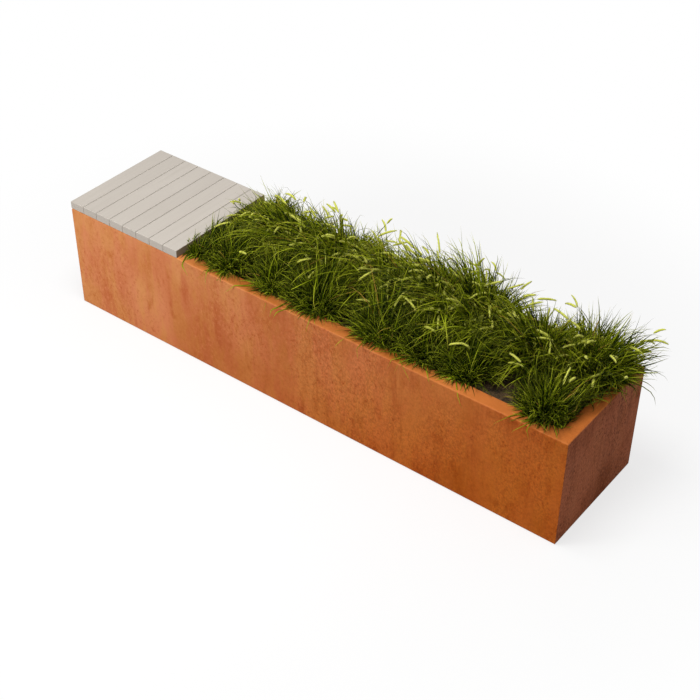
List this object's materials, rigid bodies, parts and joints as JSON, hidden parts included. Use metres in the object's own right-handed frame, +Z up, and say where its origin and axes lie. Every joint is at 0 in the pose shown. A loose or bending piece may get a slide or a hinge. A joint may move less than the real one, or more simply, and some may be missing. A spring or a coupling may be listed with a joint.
{
  "type": "bench with planter",
  "caption": "Long rectangular weathering-steel planter with a slatted seat over one end and ornamental grasses in the rest.",
  "frame": {"origin": "on the ground, in the middle of the trough's footprint, on the underside of the middle base runner", "axes": "+X along the trough from the seat to the planted end, +Y from the front to the back, +Z up"},
  "size_m": [2.1058, 0.514, 0.6161],
  "materials": {
    "weathering_steel": "matte",
    "greyed_timber": "matte",
    "galvanised_steel": "satin",
    "stainless_steel": "satin",
    "drainage_gravel": "matte",
    "soil": "matte",
    "grass": "matte"
  },
  "bodies": {
    "root": {"front_panel": "weathering_steel", "back_panel": "weathering_steel", "seat_end_panel": "weathering_steel", "planting_end_panel": "weathering_steel", "base_plate": "weathering_steel", "bulkhead": "weathering_steel", "base_runner_1": "weathering_steel", "base_runner_2": "weathering_steel", "base_runner_3": "weathering_steel", "base_runner_4": "weathering_steel", "base_runner_5": "weathering_steel", "tie_bar_1": "weathering_steel", "tie_bar_2": "weathering_steel", "slat_1": "greyed_timber", "slat_2": "greyed_timber", "slat_3": "greyed_timber", "slat_4": "greyed_timber", "slat_5": "greyed_timber", "slat_6": "greyed_timber", "slat_7": "greyed_timber", "slat_8": "greyed_timber", "seat_bearer_front": "galvanised_steel", "seat_bearer_back": "galvanised_steel", "slat_screw_1_front": "stainless_steel", "slat_screw_1_back": "stainless_steel", "slat_screw_2_front": "stainless_steel", "slat_screw_2_back": "stainless_steel", "slat_screw_3_front": "stainless_steel", "slat_screw_3_back": "stainless_steel", "slat_screw_4_front": "stainless_steel", "slat_screw_4_back": "stainless_steel", "slat_screw_5_front": "stainless_steel", "slat_screw_5_back": "stainless_steel", "slat_screw_6_front": "stainless_steel", "slat_screw_6_back": "stainless_steel", "slat_screw_7_front": "stainless_steel", "slat_screw_7_back": "stainless_steel", "slat_screw_8_front": "stainless_steel", "slat_screw_8_back": "stainless_steel", "bearer_bolt_front_1": "stainless_steel", "bearer_bolt_front_2": "stainless_steel", "bearer_bolt_back_1": "stainless_steel", "bearer_bolt_back_2": "stainless_steel", "drainage_layer": "drainage_gravel", "soil": "soil", "grass_back_1": "grass", "grass_back_2": "grass", "grass_back_3": "grass", "grass_back_4": "grass", "grass_back_5": "grass", "grass_back_6": "grass", "grass_back_7": "grass", "grass_back_8": "grass", "grass_front_1": "grass", "grass_front_2": "grass", "grass_front_3": "grass", "grass_front_4": "grass", "grass_front_5": "grass", "grass_front_6": "grass", "grass_front_7": "grass"}
  },
  "joints": []
}
